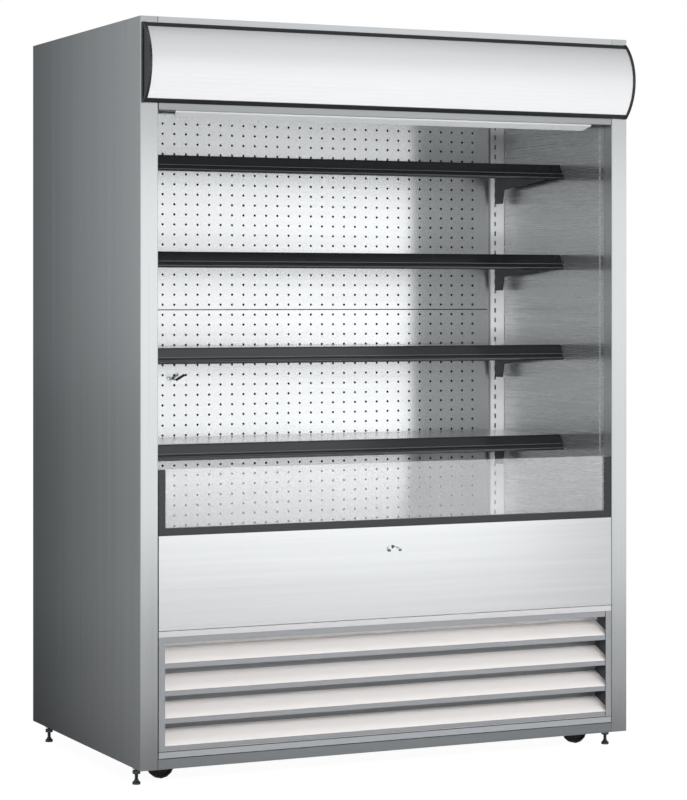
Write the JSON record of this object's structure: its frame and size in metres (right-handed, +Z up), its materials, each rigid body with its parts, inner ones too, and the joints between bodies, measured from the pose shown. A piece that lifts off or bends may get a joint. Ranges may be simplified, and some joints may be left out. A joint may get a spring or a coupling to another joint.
{
  "type": "open multideck display fridge",
  "caption": "Upright open-front display fridge with lift-off shelves, bowed light box, glass riser and a louvred machine compartment on feet and swivel casters.",
  "frame": {"origin": "on the floor, midway between the sides and midway between the front of the light box and the rear wall", "axes": "+Z up, the open front faces -Y, +X to the right as seen from the front"},
  "size_m": [1.5, 0.9586, 2.0506],
  "materials": {
    "brushed_stainless": "sheet stainless with a straight brushed grain",
    "kick_steel": "brushed stainless, in the shade near the floor",
    "liner_stainless": "bright rolled stainless, half mirror",
    "galvanised_steel": "hot-dip galvanised sheet",
    "upright_steel": "pale grey powder coat",
    "shelf_white": "pale grey powder coat, satin",
    "grey_bracket": "dark grey powder coat",
    "painted_louvre": "pale warm grey powder coat, satin",
    "black_trim": "extruded black plastic, satin gloss",
    "white_diffuser": "opal plastic that spreads the light behind it",
    "clear_glass": "clear float glass with a polished edge",
    "coil_aluminium": "bare rolled aluminium",
    "black_enamel": "black enamel",
    "black_rubber": "dull moulded rubber",
    "zinc_steel": "zinc plated steel",
    "bright_screw": "polished nickel plate"
  },
  "bodies": {
    "cabinet": {"side_panel_left": "brushed_stainless", "side_panel_right": "brushed_stainless", "rear_wall": "galvanised_steel", "roof_panel": "brushed_stainless", "base_frame": "kick_steel", "cavity_floor": "liner_stainless", "header_panel": "brushed_stainless", "lightbox_body": "black_trim", "lightbox_diffuser": "white_diffuser", "lightbox_cap_left": "black_trim", "lightbox_cap_right": "black_trim", "lightbox_led_tube": "white_diffuser", "interior_lamp": "white_diffuser", "air_outlet_grille": "coil_aluminium", "duct_ceiling": "liner_stainless", "rear_panel_upper": "liner_stainless", "rear_panel_lower": "liner_stainless", "upright_left": "upright_steel", "upright_right": "upright_steel", "bracket_left_1": "grey_bracket", "bracket_right_1": "grey_bracket", "bracket_left_2": "grey_bracket", "bracket_right_2": "grey_bracket", "bracket_left_3": "grey_bracket", "bracket_right_3": "grey_bracket", "bracket_left_4": "grey_bracket", "bracket_right_4": "grey_bracket", "return_air_grille": "liner_stainless", "temp_probe": "black_rubber", "riser_glass": "clear_glass", "riser_trim": "black_trim", "lower_front_panel": "brushed_stainless", "panel_catch": "bright_screw", "condenser_coil": "coil_aluminium", "evaporator_coil": "coil_aluminium", "compressor": "black_enamel"},
    "shelf_1": {"shelf_1": "shelf_white", "ticket_strip_1": "black_trim"},
    "shelf_2": {"shelf_2": "shelf_white", "ticket_strip_2": "black_trim"},
    "shelf_3": {"shelf_3": "shelf_white", "ticket_strip_3": "black_trim"},
    "shelf_4": {"shelf_4": "shelf_white", "ticket_strip_4": "black_trim"},
    "deck_tray": {"deck_tray": "liner_stainless"},
    "louvre_grille": {"louvre_grille": "painted_louvre"},
    "condenser_fan": {"condenser_fan": "black_enamel"},
    "evaporator_fan": {"evaporator_fan": "black_enamel"},
    "caster_fork_front_left": {"caster_fork_front_left": "zinc_steel"},
    "caster_wheel_front_left": {"caster_wheel_front_left": "black_rubber"},
    "foot_front_left": {"foot_front_left": "zinc_steel"},
    "caster_fork_front_right": {"caster_fork_front_right": "zinc_steel"},
    "caster_wheel_front_right": {"caster_wheel_front_right": "black_rubber"},
    "foot_front_right": {"foot_front_right": "zinc_steel"},
    "caster_fork_rear_left": {"caster_fork_rear_left": "zinc_steel"},
    "caster_wheel_rear_left": {"caster_wheel_rear_left": "black_rubber"},
    "foot_rear_left": {"foot_rear_left": "zinc_steel"},
    "caster_fork_rear_right": {"caster_fork_rear_right": "zinc_steel"},
    "caster_wheel_rear_right": {"caster_wheel_rear_right": "black_rubber"},
    "foot_rear_right": {"foot_rear_right": "zinc_steel"}
  },
  "joints": [
    {"name": "shelf_1_lift", "type": "slide", "parent": "cabinet", "child": "shelf_1", "axis": [0, 0, 1], "range_m": [0, 0.1]},
    {"name": "shelf_2_lift", "type": "slide", "parent": "cabinet", "child": "shelf_2", "axis": [0, 0, 1], "range_m": [0, 0.1]},
    {"name": "shelf_3_lift", "type": "slide", "parent": "cabinet", "child": "shelf_3", "axis": [0, 0, 1], "range_m": [0, 0.1]},
    {"name": "shelf_4_lift", "type": "slide", "parent": "cabinet", "child": "shelf_4", "axis": [0, 0, 1], "range_m": [0, 0.1]},
    {"name": "deck_tray_lift", "type": "slide", "parent": "cabinet", "child": "deck_tray", "axis": [0, 0, 1], "range_m": [0, 0.1]},
    {"name": "louvre_grille_pull", "type": "slide", "parent": "cabinet", "child": "louvre_grille", "axis": [0, -1, 0], "range_m": [0, 0.12]},
    {"name": "condenser_fan_spin", "type": "hinge", "parent": "cabinet", "child": "condenser_fan", "pos_m": [-0.36, -0.24075, 0.2423], "axis": [0, 1, 0], "continuous": true},
    {"name": "evaporator_fan_spin", "type": "hinge", "parent": "cabinet", "child": "evaporator_fan", "pos_m": [0, 0.06725, 0.5183], "axis": [0, 1, 0], "continuous": true},
    {"name": "caster_fork_front_left_swivel", "type": "hinge", "parent": "cabinet", "child": "caster_fork_front_left", "pos_m": [-0.619, -0.29875, 0.101], "axis": [0, 0, 1], "continuous": true},
    {"name": "caster_wheel_front_left_roll", "type": "hinge", "parent": "caster_fork_front_left", "child": "caster_wheel_front_left", "pos_m": [-0.647, -0.29875, 0.0415], "axis": [0, 1, 0], "continuous": true},
    {"name": "caster_fork_front_right_swivel", "type": "hinge", "parent": "cabinet", "child": "caster_fork_front_right", "pos_m": [0.619, -0.29875, 0.101], "axis": [0, 0, 1], "continuous": true},
    {"name": "caster_wheel_front_right_roll", "type": "hinge", "parent": "caster_fork_front_right", "child": "caster_wheel_front_right", "pos_m": [0.647, -0.29875, 0.0415], "axis": [0, 1, 0], "continuous": true},
    {"name": "caster_fork_rear_left_swivel", "type": "hinge", "parent": "cabinet", "child": "caster_fork_rear_left", "pos_m": [-0.619, 0.35725, 0.101], "axis": [0, 0, 1], "continuous": true},
    {"name": "caster_wheel_rear_left_roll", "type": "hinge", "parent": "caster_fork_rear_left", "child": "caster_wheel_rear_left", "pos_m": [-0.647, 0.35725, 0.0415], "axis": [0, 1, 0], "continuous": true},
    {"name": "caster_fork_rear_right_swivel", "type": "hinge", "parent": "cabinet", "child": "caster_fork_rear_right", "pos_m": [0.619, 0.35725, 0.101], "axis": [0, 0, 1], "continuous": true},
    {"name": "caster_wheel_rear_right_roll", "type": "hinge", "parent": "caster_fork_rear_right", "child": "caster_wheel_rear_right", "pos_m": [0.647, 0.35725, 0.0415], "axis": [0, 1, 0], "continuous": true},
    {"name": "foot_front_left_turn", "type": "hinge", "parent": "cabinet", "child": "foot_front_left", "pos_m": [-0.729, -0.33475, 0.05], "axis": [0, 0, 1], "continuous": true},
    {"name": "foot_front_right_turn", "type": "hinge", "parent": "cabinet", "child": "foot_front_right", "pos_m": [0.729, -0.33475, 0.05], "axis": [0, 0, 1], "continuous": true},
    {"name": "foot_rear_left_turn", "type": "hinge", "parent": "cabinet", "child": "foot_rear_left", "pos_m": [-0.729, 0.39325, 0.05], "axis": [0, 0, 1], "continuous": true},
    {"name": "foot_rear_right_turn", "type": "hinge", "parent": "cabinet", "child": "foot_rear_right", "pos_m": [0.729, 0.39325, 0.05], "axis": [0, 0, 1], "continuous": true}
  ]
}
